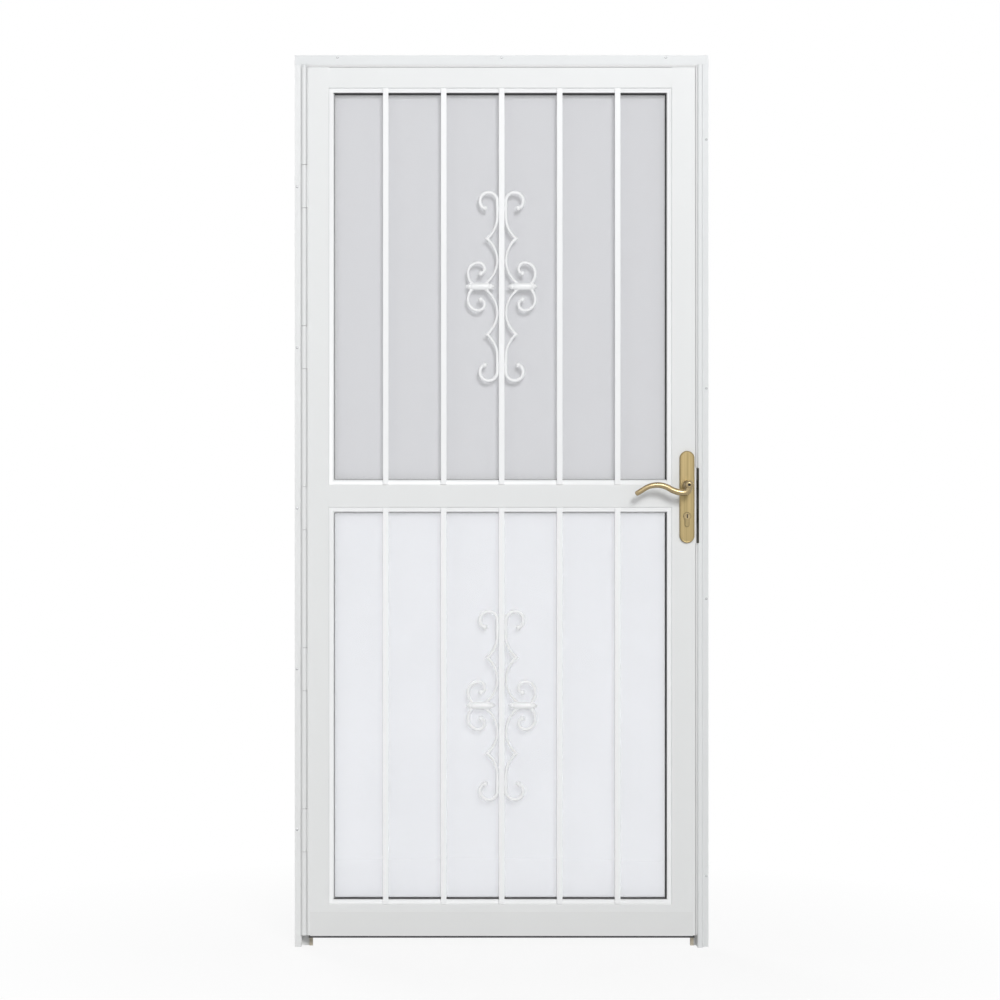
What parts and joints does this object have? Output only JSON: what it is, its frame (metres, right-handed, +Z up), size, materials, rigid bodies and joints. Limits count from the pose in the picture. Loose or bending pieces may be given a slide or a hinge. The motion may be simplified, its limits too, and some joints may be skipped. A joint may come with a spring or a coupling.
{
  "type": "steel security screen door",
  "caption": "White steel security screen door: a hinged leaf with upright bars and scrolls, screen above, glass below, brass lever lock, in its own jamb frame.",
  "frame": {"origin": "back face of the hinge jamb's mounting flange, at its foot and mid-width, on the wall plane", "axes": "+X from the hinge side to the latch side, +Y from the outside into the building, +Z up"},
  "size_m": [0.9552, 0.1388, 2.059],
  "materials": {
    "white_paint": "satin powder coat",
    "white_aluminium": "white painted aluminium",
    "bare_steel": "zinc plated",
    "brass": "polished and lacquered",
    "pile_strip": "tan woven pile",
    "black_rubber": "matt",
    "insect_screen": "woven coated fibre mesh",
    "clear_glass": "clear tempered"
  },
  "bodies": {
    "frame": {"head_jamb": "white_paint", "hinge_jamb": "white_paint", "latch_jamb": "white_paint", "strike_plate": "brass", "head_weatherstrip": "pile_strip", "hinge_weatherstrip": "pile_strip", "latch_weatherstrip": "pile_strip", "jamb_hinge": "white_paint", "hinge_pin": "bare_steel"},
    "leaf": {"leaf_hinge_knuckles": "white_paint", "hinge_stile": "white_paint", "latch_stile": "white_paint", "top_rail": "white_paint", "lock_rail": "white_paint", "bottom_rail": "white_paint", "pane_gaskets": "black_rubber", "screen_mesh": "insect_screen", "screen_frame": "white_aluminium", "glass_pane": "clear_glass", "glass_frame": "white_aluminium", "insert_clips": "white_aluminium", "door_sweep": "white_paint", "sweep_fin": "black_rubber", "lock_case": "bare_steel", "lock_faceplate": "brass", "key_cylinder": "brass", "outside_plate": "brass", "inside_plate": "brass", "upper_bar_1": "white_paint", "upper_bar_2": "white_paint", "upper_bar_3": "white_paint", "upper_bar_4": "white_paint", "upper_bar_5": "white_paint", "lower_bar_1": "white_paint", "lower_bar_2": "white_paint", "lower_bar_3": "white_paint", "lower_bar_4": "white_paint", "lower_bar_5": "white_paint", "upper_scroll_left": "white_paint", "upper_scroll_right": "white_paint", "lower_scroll_left": "white_paint", "lower_scroll_right": "white_paint"},
    "lever": {"outside_lever": "brass", "inside_lever": "brass", "spindle": "bare_steel"}
  },
  "joints": [
    {"name": "leaf_swing", "type": "hinge", "parent": "frame", "child": "leaf", "pos_m": [0.01422, -0.01, 1.029], "axis": [0, 0, -1], "range_deg": [0, 170]},
    {"name": "lever_turn", "type": "hinge", "parent": "leaf", "child": "lever", "pos_m": [0.89602, 0.002, 1.067], "axis": [0, -1, 0], "range_deg": [0, 45], "stiffness_Nm_per_rad": 0.8, "springref_deg": -34.38}
  ]
}
